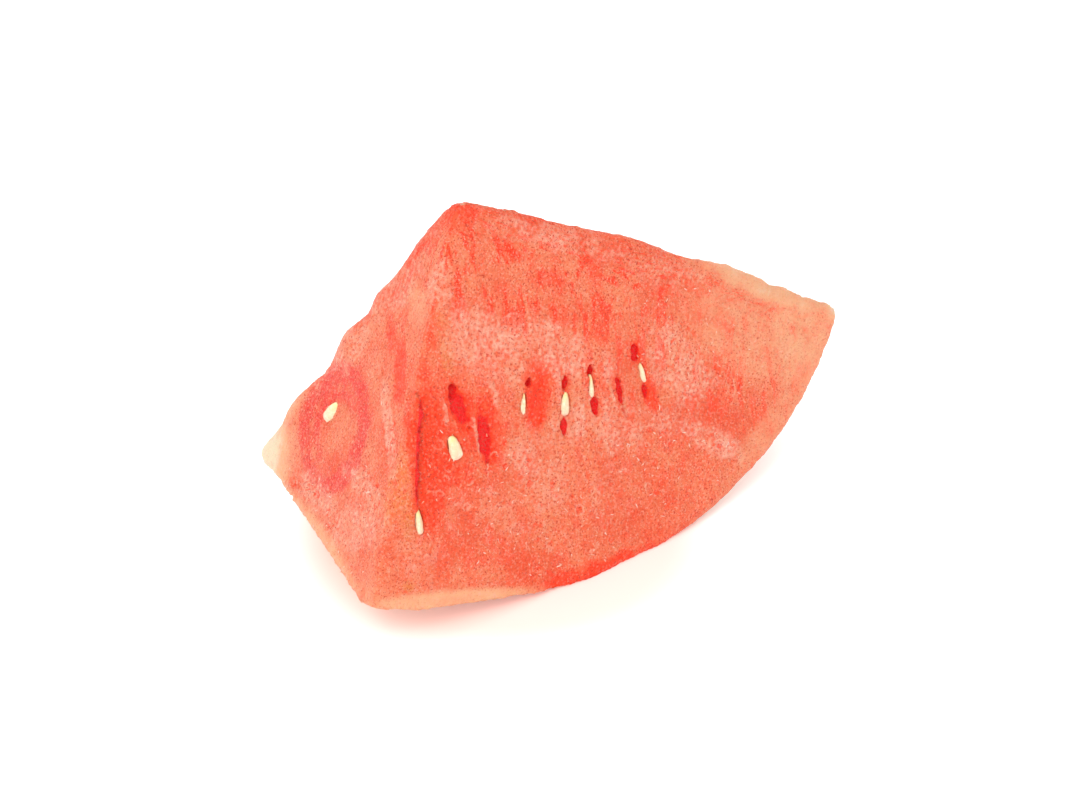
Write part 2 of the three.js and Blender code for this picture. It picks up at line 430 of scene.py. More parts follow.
# The knife's strokes where the rind was taken off, in millimetres round a melon of this radius.
STROKE_WIDTH, STROKE_DEPTH, MELON_RADIUS = 13.0, 0.8, 105


# How far each point lies across the stroke of the knife that took the rind off there, from 0 to 1.
def knife_strokes(lying):
    across = np.arctan2(lying[:, 1], -lying[:, 2]) * MELON_RADIUS + 4 * np.sin(lying[:, 0] * 0.05)
    return (across / STROKE_WIDTH + 0.4 * np.sin(lying[:, 0] * 0.021)) % 1


# The wedge's own shape: swollen edges, hollows, seed pockets and the crack with its lifted flap.
def sculpted(mesh):
    points, normals = points_of(mesh), normals_of(mesh)
    lying = places(points)
    for middle, reach, height in SWELLS:
        gap = np.linalg.norm(lying - middle, axis=1)
        points += normals * (height * MM * np.exp(-((gap / reach) ** 2)))[:, None]

    past, beside = by_crack(places(points))
    wobble = 0.35 * np.sin(lying[:, 2] * 0.9) + 0.25 * np.sin(lying[:, 2] * 2.3 + 1)
    past = past + wobble
    flap = FLAP_RISE * smooth(-5, -0.3, past) * (past <= 0.1)
    floor = -FLOOR_DROP * smooth(-0.1, 0.35, past) * smooth(7.5, 0.4, past)
    points += np.outer((flap + floor) * beside * MM, front_normal)
    points += np.outer(FLAP_PUSH * smooth(-2.5, -0.1, past) * (past <= 0.1) * beside * MM, melon_x)

    lying = places(points)
    for face, *shape, cut in HOLLOWS:
        inside = oval(lying, face, *shape, soft=0.3, taper=0.15, ragged=0.2)
        points -= np.outer(inside * cut * MM, cuts[face][0])
    for face, *shape in STRIPS:
        points += np.outer(oval(lying, face, *shape, soft=0.5) * STRIP_HEIGHT * MM, cuts[face][0])

    for name in seed_names:
        middle, axes, reach = seed_lies[name]
        outward = np.array(cuts[name.split("_")[1]][0])  # a seed's name says which cut it lies in
        pocket = reach * SOFT_SIZE - SEED_SQUEEZE
        start, way = (points - middle) @ axes.T / pocket, axes @ outward / pocket
        a, b, c = way @ way, start @ way, (start**2).sum(1) - 1
        meets = b**2 - a * c
        root = np.sqrt(np.maximum(meets, 0))
        lower, upper = (-b - root) / a, (-b + root) / a
        pressed = (meets > 0) & (upper > -0.3 * MM) & (lower < 0) & (np.abs(upper + lower) < 12 * MM)
        points[pressed] += np.outer(lower[pressed], outward)

    trimmed = np.empty(len(points))
    mesh.attributes["trimmed"].data.foreach_get("value", trimmed)
    stroke = knife_strokes(places(points))
    scooped = STROKE_DEPTH * np.sin(np.pi * stroke) * trimmed * smooth(0.5, 4, points[:, 2] / MM)
    points -= normals * (scooped * MM)[:, None]

    points[:, 2] = np.maximum(points[:, 2], 0.02 * MM)
    mesh.vertices.foreach_set("co", points.ravel())
    mesh.update()
    return mesh


# What shows where on the flesh, as soft ovals: cut, place, depth, lean, length, width and strength.
PATCHES = {
    # juicy deep red where the flesh is torn, thin or ripest, and along the bottom edge partly painted shade
    "blush_and_shade": [
        ("front", 23.5, 51.5, 24, 21, 12, 0.85),
        ("front", 14.2, 47, 38, 17, 9, 0.85),
        ("front", 24, 53, 24, 15, 6, 1.3),
        ("front", 14, 47, 40, 13, 6, 1.3),
        ("front", 18, 48, 80, 18, 8, 0.65),
        ("front", 13.4, 57, 30, 22, 16, 0.7),
        ("front", 8, 60, 16, 38, 12, 1.25),
        ("front", 36.9, 41, 14, 18, 9, 0.9),
        ("front", 37.4, 43, 14, 11, 6, 1.3),
        ("front", 33, 37, 14, 8, 5, 0.6),
        ("front", 51.9, 22.1, 87, 9, 6, 0.55),
        ("front", 23.2, 33.1, 39, 5, 5, 0.5),
        ("front", 72.5, 33.5, 38, 11, 5, 0.9),
        ("front", 46, 41, 24, 13, 5, 0.45),
        ("front", 54, 36, 30, 12, 5, 0.5),
        ("front", 61.6, 35.2, 24, 11, 4.5, 0.6),
        ("front", 64.6, 24, 30, 8, 4, 0.6),
        ("front", 2.4, 3.4, -49, 12, 7, 0.7),
        ("front", 19, 18, 25, 20, 6, 0.4),
        ("front", 28, 15, 25, 20, 5, 0.35),
        ("front", 36, 15, 25, 22, 6, 0.45),
        ("front", 47, 11, 28, 16, 6, 0.45),
        ("front", 82.5, 14, 30, 15, 14, 0.25),
        ("front", 96.9, 31.4, 50, 8, 8, 0.55),
        ("front", 99, 16, 32, 12, 10, 0.25),
        # These two bands along the bottom edge are partly the redder flesh that the deep trim reached and
        # partly painted shade where the flesh curves under towards the table.
        ("front", 78, 79, -68, 60, 13, 1.15),
        ("front", 56, 86, -75, 14, 6, 0.8),
        ("front", 84.8, 52, -39, 34, 22, 0.25),
        ("front", 30, 80, 86, 40, 14, 0.2),
        ("crosscut", 2.6, 39.4, 50, 11, 6, 0.7),
        ("crosscut", -9.3, 45.4, 40, 19, 6, 1.1),
        ("crosscut", 15, 70.4, -15, 12, 8, 0.3),
        ("back", 36, 47, 14, 16, 7, 0.8),
        ("back", 66, 30, 24, 15, 6, 0.7),
        ("back", 21, 57, 18, 18, 8, 0.8),
        ("back", 52, 38, 20, 12, 8, 0.5),
        ("back", 6, 20, 20, 30, 8, 0.4),
        ("back", 40, 16, 25, 22, 8, 0.4),
        ("back", 80, 60, -40, 40, 20, 0.3),
    ],
    # pinkish white frosting of opened juice cells: partly their pale colour, partly their wet glisten painted
    # in as colour
    "frost_and_glisten": [
        ("front", -0.5, 19, 27, 18, 8, 0.8),
        ("front", 16.8, 29.6, -89, 26, 17, 0.95),
        ("front", 38.9, 28.5, 77, 27, 14, 0.85),
        ("front", 27, 36, -80, 18, 8, 0.7),
        ("front", 50.4, 43.3, 24, 13, 7, 0.9),
        ("front", 43, 45, 24, 10, 5, 0.7),
        ("front", 59, 42, 37, 22, 9, 0.85),
        ("front", 57.5, 31, 25, 14, 5, 0.7),
        ("front", 67.5, 41, 40, 18, 9, 0.7),
        ("front", 80.4, 24.7, 50, 30, 18, 0.75),
        ("front", 98, 41.5, 78, 24, 8, 0.9),
        ("front", 84, 40, 85, 24, 8, 0.6),
        ("front", 42.7, 58.9, 56, 24, 18, 0.55),
        ("front", 38.3, 52, -57, 22, 12, 0.6),
        ("front", 29.6, 2.5, -87, 50, 8, 0.6),
        ("front", 70, 3, -88, 40, 8, 0.5),
        ("front", 66, 60, 50, 26, 16, 0.35),
        ("front", 30, 72, 80, 34, 16, 0.35),
        ("front", 12, 84, 60, 20, 14, 0.4),
        ("crosscut", -14.9, 59.2, 54, 30, 5, 0.9),
        ("crosscut", -14.4, 76, -84, 24, 7, 0.75),
        ("crosscut", 5.5, 90, -83, 26, 10, 0.8),
        ("crosscut", 18, 52, -24, 26, 12, 0.7),
        ("crosscut", 6, 30, -24, 20, 10, 0.7),
        ("crosscut", -18, 86, -60, 34, 16, 0.7),
        ("crosscut", 26, 66, 20, 20, 6, 0.5),
        ("crosscut", 12, 34, -32, 20, 12, 0.6),
        ("crosscut", 3, 50, 20, 9, 7, 0.5),
        ("crosscut", 2, 18, 0, 18, 10, 0.5),
        ("back", 16, 34, 80, 26, 14, 0.8),
        ("back", 44, 32, 77, 30, 12, 0.8),
        ("back", 60, 44, 60, 22, 10, 0.7),
        ("back", 84, 30, 60, 26, 16, 0.6),
        ("back", 40, 62, -80, 30, 16, 0.5),
        ("back", 30, 4, -87, 50, 8, 0.5),
    ],
    # pale firm flesh next to where the rind was
    "pale": [
        ("front", 106, -1, 87, 60, 11, 0.72),
        ("front", 100, 12, 78, 54, 26, 0.42),
        ("front", 122, 11, 39, 36, 27, 0.52),
        ("front", 119, 32, -33, 46, 11, 0.4),
        ("front", 26, 92, -79, 58, 6, 0.7),
        ("crosscut", -4, 99, -89, 70, 9, 0.6),
        ("crosscut", 34, 84, -22, 30, 9, 0.55),
        ("crosscut", -4.4, 28.3, 61, 16, 10, 0.4),
        ("back", 104, -1, 87, 60, 7, 0.6),
        ("back", 119, 32, -33, 46, 10, 0.4),
        ("back", 26, 94, -82, 60, 8, 0.6),
    ],
    # warm orange where the flesh is thin along the ridge
    "amber": [
        ("front", 3.6, 69.6, 18, 26, 5, 0.7),
        ("front", 10.3, 90.6, 63, 3.6, 3, 1.0),
        ("front", 5.3, 32.3, 23, 22, 5, 0.55),
        ("crosscut", -27, 68, 20, 26, 7, 0.6),
        ("crosscut", 13, 44, -20, 26, 5, 0.35),
        ("crosscut", 8, 72, 0, 16, 10, 0.3),
    ],
    # rough flesh with torn flecks and pits
    "torn": [
        ("front", 40, 66, 80, 70, 34, 0.5),
        ("front", 76, 50, 70, 40, 26, 0.45),
        ("front", 86, 20, 70, 40, 24, 0.45),
        ("front", 30, 56, 0, 10, 8, 0.8),
        ("front", 98, 41.5, 78, 24, 8, 0.8),
        ("crosscut", -14.9, 59.2, 54, 30, 5, 1.0),
        ("crosscut", -14.4, 76, -84, 24, 8, 1.0),
        ("crosscut", 5.5, 90, -83, 20, 8, 0.8),
        ("crosscut", 2, 51, 10, 7, 6, 1.0),
        ("crosscut", 0, 96, -89, 60, 10, 0.6),
        ("back", 40, 66, 80, 70, 34, 0.5),
        ("back", 76, 40, 70, 40, 26, 0.45),
    ],
}
# Corners where the flesh next to the rind was left: middle, how far round it they reach, and paleness.
PALE_CORNERS = [((0, 38, -98), 15, 1.45), ((131, 0, -1), 5, 1.05), ((0, -38, -99), 9, 0.5)]
# The fibres curl in the crosscut: the curl's middle as place and depth, its radius and how wide it is.
CURL_PLACE, CURL_DEPTH, CURL_RADIUS, CURL_WIDTH = 9.5, 72.5, 15, 2.8
FIBRE_LEAN = 0.35  # fibres run outwards and this much towards the tip
FIBRE_DRIFT = 0.16  # how fast their pattern changes along them, against across them
FIBRE_RADIUS = 50  # millimetres from the axis to where they show at their own spacing


# Stores the patches on the mesh, with the places in the melon and along its fibres that patterns follow.
def painted(mesh):
    points = points_of(mesh)
    lying = places(points)
    masks = {}
    for mark, ovals in PATCHES.items():
        shown = np.zeros(len(points))
        for *oval_in, strength in ovals:
            shown = np.maximum(shown, strength * oval(lying, *oval_in, soft=0.5))
        masks[mark] = shown
    for middle, reach, strength in PALE_CORNERS:
        gap = np.linalg.norm(lying - middle, axis=1)
        masks["pale"] = np.maximum(masks["pale"], strength * np.exp(-((gap / reach) ** 2)))

    on_crosscut = smooth(3, 0.5, lying[:, 0])
    across, down = lying[:, 1] - CURL_PLACE, -lying[:, 2] - CURL_DEPTH
    from_middle, turn = np.hypot(across, down), np.arctan2(down, across)
    curl = np.exp(-(((from_middle - CURL_RADIUS) / CURL_WIDTH) ** 2)) * (0.95 + 0.3 * np.sin(turn * 2 + 2.2))
    inner = np.exp(-(((from_middle - 0.62 * CURL_RADIUS) / 1.6) ** 2)) * (0.35 + 0.35 * np.sin(turn + 2.0))
    masks["curl"] = np.clip(curl + inner, 0, 1) * on_crosscut

    hollow = np.zeros(len(points))
    for *shape, cut in HOLLOWS:
        inside = oval(lying, *shape, soft=0.35, ragged=0.2)
        hollow = np.maximum(hollow, inside * min(1.0, 0.95 * cut))
    for name in seed_names:
        middle, axes, reach = seed_lies[name]
        wide = reach * SOFT_SIZE + 0.4 * MM
        around = np.linalg.norm((points - middle) @ axes.T / wide, axis=1)
        hollow = np.maximum(hollow, 0.45 * smooth(1.2, 0.9, around))
    past, beside = by_crack(lying)
    hollow = np.maximum(hollow, beside * smooth(-0.3, 0.3, past) * smooth(3.0, 0.6, past))
    masks["hollow"] = hollow
    masks["frost_and_glisten"] *= 1 - 0.85 * masks["blush_and_shade"]
    for strip in STRIPS:
        masks["frost_and_glisten"] = np.maximum(masks["frost_and_glisten"], 1.2 * oval(lying, *strip, soft=0.5, ragged=0.2))
    for mark, shown in masks.items():
        store(mesh, mark, shown)

    store(mesh, "stroke_edge", np.abs(2 * knife_strokes(lying) - 1) ** 4)
    store(mesh, "in_melon", lying)
    out = np.hypot(lying[:, 1], lying[:, 2])
    around = lying[:, 1:] / np.maximum(out, 1)[:, None] * FIBRE_RADIUS + FIBRE_DRIFT * out[:, None]
    store(mesh, "fibre", np.column_stack((lying[:, 0] - FIBRE_LEAN * out, around)))
    return mesh


PITS_PER_MM = 0.24  # pits in torn flesh lie about 4 millimetres apart


# How far each place is from the middle of its pit, as a share of the pits' spacing.
def from_pit(tree, in_melon):
    inputs = {"Vector": in_melon, "Scale": PITS_PER_MM}
    return add_node(tree, "ShaderNodeTexVoronoi", inputs).outputs["Distance"]


# Fine relief: soft ridges along the fibres, grains of juice cells, and pits where the flesh is torn.
def grained_tree():
    tree, given, result = new_tree(
        "juicy relief",
        [("Fibres", "Float"), ("Grains", "Float"), ("Pits", "Float"), ("Material", "Material")],
    )
    in_melon, torn = stored(tree, "in_melon", "FLOAT_VECTOR"), stored(tree, "torn")
    fibres = sums(tree, "SUBTRACT", noise_of(tree, stored(tree, "fibre", "FLOAT_VECTOR"), 0.3), 0.5)
    fibres = sums(tree, "MULTIPLY", fibres, given.outputs["Fibres"])
    grains = sums(tree, "SUBTRACT", noise_of(tree, in_melon, 0.5, 3.0), 0.5)
    grains = sums(tree, "MULTIPLY", grains, given.outputs["Grains"])
    rougher = sums(tree, "MULTIPLY_ADD", torn, 0.8, 0.7)
    relief = sums(tree, "MULTIPLY_ADD", grains, rougher, fibres)
    cell = from_pit(tree, in_melon)
    pit = sums(tree, "MULTIPLY", ramp(tree, cell, 0.34, 0.08), torn)
    push = sums(tree, "MULTIPLY_ADD", sums(tree, "MULTIPLY", pit, -1.0), given.outputs["Pits"], relief)
    push = sums(tree, "MULTIPLY", push, ramp(tree, height_above_table(tree), 0.0, 2.0 * MM))
    normal = add_node(tree, "GeometryNodeInputNormal").outputs[0]
    offset = add_node(tree, "ShaderNodeVectorMath", {0: normal, "Scale": push}, operation="SCALE").outputs[0]
    moved = add_node(
        tree, "GeometryNodeSetPosition", {"Geometry": given.outputs["Geometry"], "Offset": offset}
    ).outputs[0]
    end_tree(tree, given, result, moved)
    return tree


# A shader group with named inputs and outputs.
def new_group(name, inputs, outputs):
    group = bpy.data.node_groups.new(name, "ShaderNodeTree")
    for direction, sockets in (("INPUT", inputs), ("OUTPUT", outputs)):
        for label, kind in sockets:
            group.interface.new_socket(label, in_out=direction, socket_type="NodeSocket" + kind)
    return group, group.nodes.new("NodeGroupInput"), group.nodes.new("NodeGroupOutput")


# Juicy grain, which every soft surface of the melon shows: pale opened cells, tiny dark specks between them,
# crumbs of both sizes, and tiny light dots laid on as painted glints. Vector is in millimetres and Fineness
# is about 1 on flesh.
def juicy_grain():
    group, given, result = new_group(
        "juicy grain",
        [("Vector", "Vector"), ("Fineness", "Float")],
        [(name, "Float") for name in ("Cells", "Specks", "Painted glints", "Crumbs", "Height")],
    )
    place = add_node(
        group,
        "ShaderNodeVectorMath",
        {0: given.outputs["Vector"], "Scale": given.outputs["Fineness"]},
        operation="SCALE",
    ).outputs[0]
    bent = add_node(group, "ShaderNodeTexNoise", {"Vector": place, "Scale": 1.0, "Detail": 1.0}).outputs[1]
    warped = add_node(
        group, "ShaderNodeVectorMath", {0: bent, 1: (0.9, 0.9, 0.9), 2: place}, operation="MULTIPLY_ADD"
    ).outputs[0]
    cell = add_node(group, "ShaderNodeTexVoronoi", {"Vector": warped, "Scale": 1.05}).outputs["Distance"]
    cells = ramp(group, cell, 0.55, 0.12)
    speck = add_node(group, "ShaderNodeTexNoise", {"Vector": place, "Scale": 2.0, "Detail": 2.0}).outputs[0]
    specks = ramp(group, speck, 0.57, 0.67)
    painted_glints = ramp(group, speck, 0.43, 0.31)
    crumb = add_node(
        group, "ShaderNodeTexNoise", {"Vector": place, "Scale": 1.0, "Detail": 4.0, "Roughness": 0.75}
    ).outputs[0]
    crumbs = ramp(group, crumb, 0.32, 0.68)
    height = sums(group, "MULTIPLY_ADD", cells, 0.35, sums(group, "MULTIPLY", crumbs, 0.8))
    height = sums(group, "MULTIPLY_ADD", specks, -0.45, height)
    for socket, value in zip(result.inputs, (cells, specks, painted_glints, crumbs, height)):
        group.links.new(value, socket)
    return group


grain_group = juicy_grain()


def new_material(name, **settings):
    material = bpy.data.materials.new(name)
    material.use_nodes = True
    shader = material.node_tree.nodes["Principled BSDF"]
    for label, value in settings.items():
        shader.inputs[label.replace("_", " ")].default_value = value
    return material, material.node_tree, shader


# What is stored on a mesh, as its material sees it.
def marked(tree, name, output="Fac"):
    return add_node(tree, "ShaderNodeAttribute", attribute_name=name).outputs[output]


# Places in a piece's own frame, in millimetres.
def own_places(tree):
    place = add_node(tree, "ShaderNodeTexCoord").outputs["Object"]
    millimetres = {"Vector": place, "Scale": (1 / MM, 1 / MM, 1 / MM)}
    return add_node(tree, "ShaderNodeMapping", millimetres).outputs[0]


def grain_at(tree, place, fineness):
    inputs = {"Vector": place, "Fineness": fineness}
    return add_node(tree, "ShaderNodeGroup", inputs, node_tree=grain_group).outputs


# One colour laid over another as strongly as the amount says.
def over(tree, under, colour, amount):
    mix = add_node(tree, "ShaderNodeMix", data_type="RGBA", clamp_factor=True)
    for index, value in ((0, amount), (6, under), (7, colour)):
        if isinstance(value, bpy.types.NodeSocket):
            tree.links.new(value, mix.inputs[index])
        else:
            mix.inputs[index].default_value = value if index == 0 else (*value, 1)
    return mix.outputs[2]


# The flesh's colours, from the ripe heart out to the firm edge by the rind.
SALMON = (0.80, 0.215, 0.100)
RED_ORANGE = (0.77, 0.085, 0.026)
# JUICY_RED also paints the shade along the bottom edge.
JUICY_RED = (0.97, 0.034, 0.002)
DEEP_RED = (0.80, 0.012, 0.010)
CURL_PINK = (0.78, 0.042, 0.030)
# The pale of opened cells, also used to paint their wet glisten and the glints as colour.
FROST_AND_GLINT_PINK = (0.84, 0.41, 0.29)
AMBER = (0.76, 0.21, 0.06)
PEACH = (0.82, 0.41, 0.22)
CREAM = (0.79, 0.64, 0.44)
RIND_WHITE = (0.80, 0.74, 0.52)
SPECK_RED = (0.58, 0.045, 0.018)


def flesh_material():
    material, tree, shader = new_material(
        "watermelon_flesh",
        Subsurface_Weight=0.4,
        Subsurface_Radius=(1.0, 0.25, 0.12),
        Subsurface_Scale=3.0 * MM,
        Specular_IOR_Level=0.25,
        Coat_Roughness=0.22,
        Coat_IOR=1.33,
    )
    in_melon = marked(tree, "in_melon", "Vector")
    fibre = marked(tree, "fibre", "Vector")
    cells, specks, painted_glints, crumbs, height = grain_at(tree, in_melon, 1.0)

    clouds = ramp(tree, noise_of(tree, in_melon, 0.07, 4.0, 0.6), 0.39, 0.71)
    colour = over(tree, SALMON, RED_ORANGE, clouds)
    strands = ramp(tree, noise_of(tree, fibre, 0.32, 3.0, 0.6), 0.49, 0.62)
    strands_fine = noise_of(tree, fibre, 1.1, 2.0)
    height_up = add_node(tree, "ShaderNodeSeparateXYZ", {0: in_melon}).outputs[2]
    upper = ramp(tree, height_up, -48, -16, 0.2, 0.95)
    colour = over(tree, colour, JUICY_RED, sums(tree, "MULTIPLY", strands, upper))
    ragged = sums(tree, "MULTIPLY", sums(tree, "SUBTRACT", crumbs, 0.5), 0.4)
    drifting = sums(tree, "SUBTRACT", noise_of(tree, in_melon, 0.2, 4.0), 0.5)
    ragged = sums(tree, "MULTIPLY_ADD", drifting, 1.5, ragged)
    ragged_little = sums(tree, "MULTIPLY", ragged, 0.4)

    # A patch's strength with a ragged edge.
    def spread(name, low, high, edge=ragged):
        return ramp(tree, sums(tree, "ADD", marked(tree, name), edge), low, high)

    colour = over(tree, colour, CURL_PINK, spread("curl", 0.0, 0.6))
    colour = over(tree, colour, AMBER, spread("amber", 0.1, 1.0))
    streaks = sums(tree, "MULTIPLY_ADD", strands_fine, 0.6, 0.6)
    # Deep red patches, along the bottom edge partly painted shade.
    colour = over(tree, colour, JUICY_RED, sums(tree, "MULTIPLY", spread("blush_and_shade", 0.15, 0.95), streaks))
    colour = over(tree, colour, RED_ORANGE, ramp(tree, crumbs, 0.5, 0.0, 0.0, 0.9))
    torn = marked(tree, "torn")
    edge = sums(tree, "MULTIPLY_ADD", sums(tree, "SUBTRACT", crumbs, 0.5), 0.12, from_pit(tree, in_melon))
    pit = sums(tree, "MULTIPLY", ramp(tree, edge, 0.28, 0.16), torn)
    rim = sums(tree, "MULTIPLY", ramp(tree, edge, 0.24, 0.31), ramp(tree, edge, 0.42, 0.33))
    rim = sums(tree, "MULTIPLY", rim, torn)
    rim = sums(tree, "MULTIPLY", rim, ramp(tree, noise_of(tree, in_melon, 0.35), 0.5, 0.6))
    colour = over(tree, colour, JUICY_RED, pit)
    # Frosting: the pale of opened cells, with their glisten painted in as pale colour; the same colour also
    # paints the pale rims of torn pits.
    frost_and_glisten = spread("frost_and_glisten", 0.2, 1.1)
    sparkle = sums(tree, "MULTIPLY_ADD", cells, 0.1, sums(tree, "MULTIPLY_ADD", crumbs, 1.2, -0.1))
    colour = over(tree, colour, FROST_AND_GLINT_PINK, sums(tree, "MULTIPLY", frost_and_glisten, sparkle))
    colour = over(tree, colour, FROST_AND_GLINT_PINK, sums(tree, "MULTIPLY", sums(tree, "MULTIPLY", cells, crumbs), 0.50))
    colour = over(tree, colour, FROST_AND_GLINT_PINK, rim)
    colour = over(tree, colour, PEACH, spread("pale", 0.05, 0.85, ragged_little))
    colour = over(tree, colour, CREAM, spread("pale", 0.75, 1.15, ragged_little))
    trimmed = spread("trimmed", 0.2, 0.9, ragged_little)
    stretched = {0: in_melon, 1: (0.13, 1, 1)}
    lengthwise = add_node(tree, "ShaderNodeVectorMath", stretched, operation="MULTIPLY").outputs[0]
    veins = ramp(tree, noise_of(tree, lengthwise, 0.35, 4.0, 0.65), 0.42, 0.62)
    near_rind = sums(tree, "MULTIPLY", veins, 0.6)
    near_rind = sums(tree, "MULTIPLY_ADD", marked(tree, "stroke_edge"), 0.5, near_rind)
    near_rind = sums(tree, "MULTIPLY_ADD", marked(tree, "heel"), 0.6, near_rind)
    colour = over(tree, colour, PEACH, sums(tree, "MULTIPLY", trimmed, 0.75))
    colour = over(tree, colour, RIND_WHITE, sums(tree, "MULTIPLY", trimmed, ramp(tree, near_rind, 0.15, 1.3)))
    hollow = ramp(tree, marked(tree, "hollow"), 0.3, 0.75)
    colour = over(tree, colour, DEEP_RED, hollow)
    # Painted glints: tiny light dots of painted highlight, fewer in the red-orange clouds, fewer on strong
    # deep red patches and none in hollows.
    painted_shine = sums(tree, "MULTIPLY_ADD", clouds, -0.25, 0.65)
    painted_shine = sums(tree, "MULTIPLY", painted_shine, ramp(tree, marked(tree, "blush_and_shade"), 0.9, 0.3))
    painted_shine = sums(tree, "MULTIPLY", painted_shine, ramp(tree, hollow, 0.5, 0.0))
    colour = over(tree, colour, FROST_AND_GLINT_PINK, sums(tree, "MULTIPLY", painted_glints, painted_shine))
    dark = sums(tree, "MULTIPLY_ADD", clouds, -0.3, 1.0)
    dark = sums(tree, "MULTIPLY", dark, ramp(tree, marked(tree, "pale"), 0.2, 0.8, 1.0, 0.2))
    colour = over(tree, colour, SPECK_RED, sums(tree, "MULTIPLY", specks, dark))
    tree.links.new(colour, shader.inputs["Base Color"])

    rough = sums(tree, "MULTIPLY_ADD", crumbs, 0.16, 0.36)
    rough = sums(tree, "MULTIPLY_ADD", hollow, -0.18, rough)
    tree.links.new(rough, shader.inputs["Roughness"])
    wet = sums(tree, "MULTIPLY_ADD", hollow, 0.1, sums(tree, "MULTIPLY", cells, 0.12))
    tree.links.new(wet, shader.inputs["Coat Weight"])
    relief = sums(tree, "MULTIPLY_ADD", strands_fine, 0.5, height)
    bump = add_node(tree, "ShaderNodeBump", {"Strength": 1.0, "Distance": 0.45 * MM, "Height": relief})
    tree.links.new(bump.outputs[0], shader.inputs["Normal"])
    return material


# How much each point faces away from the flat cuts, to where the rind was, and lies at the pale heel.
def mark_trimmed(mesh):
    facing = np.max([normals_of(mesh) @ np.array(cuts[name][0]) for name in cuts], axis=0)
    trimmed = smooth(0.75, 0.3, facing)
    lying = places(points_of(mesh))
    store(mesh, "trimmed", trimmed)
    store(mesh, "heel", trimmed * smooth(60, 0, lying[:, 0]) * smooth(-75, -100, lying[:, 2]))


flesh_finish = flesh_material()
wedge_mesh = grown(
    solid_wedge(),
    softened_tree(),
    {"Rounding": 4, "Wander": 1.3 * MM, "Crumble": 2.2 * MM, "Material": flesh_finish},
)
finer(wedge_mesh, near_features(2.0, 1.5))
finer(wedge_mesh, near_features(0.6, 1.12))
mark_trimmed(wedge_mesh)
flesh_mesh = grown(
    painted(sculpted(wedge_mesh)),
    grained_tree(),
    {"Fibres": 0.6 * MM, "Grains": 0.85 * MM, "Pits": 1.0 * MM, "Material": flesh_finish},
)

flesh = put_smooth("melon_flesh", flesh_mesh)
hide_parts("flesh")
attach(flesh, "root")

# ======================================================================================================
# Seeds: soft, flat, unripe seeds, cream white with a yellower tip. Each lies in its own pocket in a cut,
# flat or edge on, as it grew, and is held by the flesh around it.
# ======================================================================================================


# One soft seed about its middle, with its length along y: a round body drawn to a tip, a little wrinkled.
def soft_seed_tree():
    tree, given, result = new_tree(
        "soft seed",
        [
            ("Width", "Float"),
            ("Length", "Float"),
            ("Thickness", "Float"),
            ("Tip draw", "Float"),
            ("Wrinkle", "Float"),
            ("Growth seed", "Float"),
            ("Material", "Material"),
        ],
    )
    body = add_node(tree, "GeometryNodeMeshIcoSphere", {"Radius": 1.0, "Subdivisions": 5}).outputs[0]
    place = add_node(tree, "GeometryNodeInputPosition").outputs[0]
    x, y, z = add_node(tree, "ShaderNodeSeparateXYZ", {0: place}).outputs
    tip_mark = {"Geometry": body, "Name": "to_tip", "Value": y}
    kept = add_node(tree, "GeometryNodeStoreNamedAttribute", tip_mark, domain="POINT").outputs[0]
    upper = ramp(tree, y, -0.2, 1.0)
    drawn = sums(tree, "SUBTRACT", 1.0, sums(tree, "MULTIPLY", upper, given.outputs["Tip draw"]))
    wave = add_node(
        tree,
        "ShaderNodeTexNoise",
        {"Vector": place, "W": given.outputs["Growth seed"], "Scale": 1.1, "Detail": 3.0},
        noise_dimensions="4D",
    ).outputs[0]
    folds = sums(tree, "MULTIPLY_ADD", sums(tree, "SUBTRACT", wave, 0.5), given.outputs["Wrinkle"], 1.0)
    blunt = sums(tree, "MULTIPLY_ADD", sums(tree, "MULTIPLY", y, y), 0.75, 0.9)
    girth = sums(tree, "MULTIPLY", sums(tree, "MULTIPLY", drawn, folds), blunt)
    halves = [sums(tree, "MULTIPLY", given.outputs[name], 0.5) for name in ("Width", "Length", "Thickness")]
    placed = add_node(
        tree,
        "ShaderNodeCombineXYZ",
        {
            0: sums(tree, "MULTIPLY", sums(tree, "MULTIPLY", x, halves[0]), girth),
            1: sums(tree, "MULTIPLY", y, halves[1]),
            2: sums(tree, "MULTIPLY", sums(tree, "MULTIPLY", z, halves[2]), girth),
        },
    ).outputs[0]
    moved = add_node(tree, "GeometryNodeSetPosition", {"Geometry": kept, "Position": placed}).outputs[0]
    end_tree(tree, given, result, moved)
    return tree


SEED_CREAM = (0.78, 0.54, 0.34)
SEED_TIP_YELLOW = (0.80, 0.62, 0.28)
SEED_FOOT_PINK = (0.79, 0.42, 0.30)
SEED_CELL_WHITE = (0.86, 0.78, 0.62)
SEED_SPECK_BROWN = (0.45, 0.22, 0.08)


